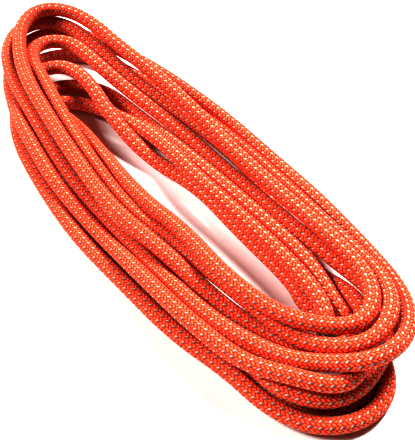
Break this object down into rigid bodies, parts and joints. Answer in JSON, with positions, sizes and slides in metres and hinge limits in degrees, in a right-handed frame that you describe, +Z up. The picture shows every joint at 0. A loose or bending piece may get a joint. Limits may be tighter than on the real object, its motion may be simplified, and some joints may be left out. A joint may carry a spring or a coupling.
{
  "type": "climbing rope",
  "caption": "Kernmantle climbing rope with braided sheath, parallel core strands, end sleeves and fused tips, lying as a loose elongated hand coil.",
  "frame": {"origin": "on the floor, under the middle of the coil's bounding box", "axes": "+X along the coil towards its near bend, +Y across the coil towards the leg that runs on from the near bend, +Z up from the floor"},
  "size_m": [0.4186, 0.1631, 0.0452],
  "materials": {
    "braided_sheath": "braided yarn",
    "core_yarn": "twisted yarn",
    "sleeve_film": "satin film",
    "melted_yarn": "melted"
  },
  "bodies": {
    "root": {"rope_sheath": "braided_sheath", "core_strand_01": "core_yarn", "core_strand_02": "core_yarn", "core_strand_03": "core_yarn", "core_strand_04": "core_yarn", "core_strand_05": "core_yarn", "core_strand_06": "core_yarn", "core_strand_07": "core_yarn", "core_strand_08": "core_yarn", "core_strand_09": "core_yarn", "core_strand_10": "core_yarn", "core_strand_11": "core_yarn", "core_strand_12": "core_yarn", "end_sleeve_a": "sleeve_film", "fused_tip_a": "melted_yarn", "end_sleeve_b": "sleeve_film", "fused_tip_b": "melted_yarn"}
  },
  "joints": []
}
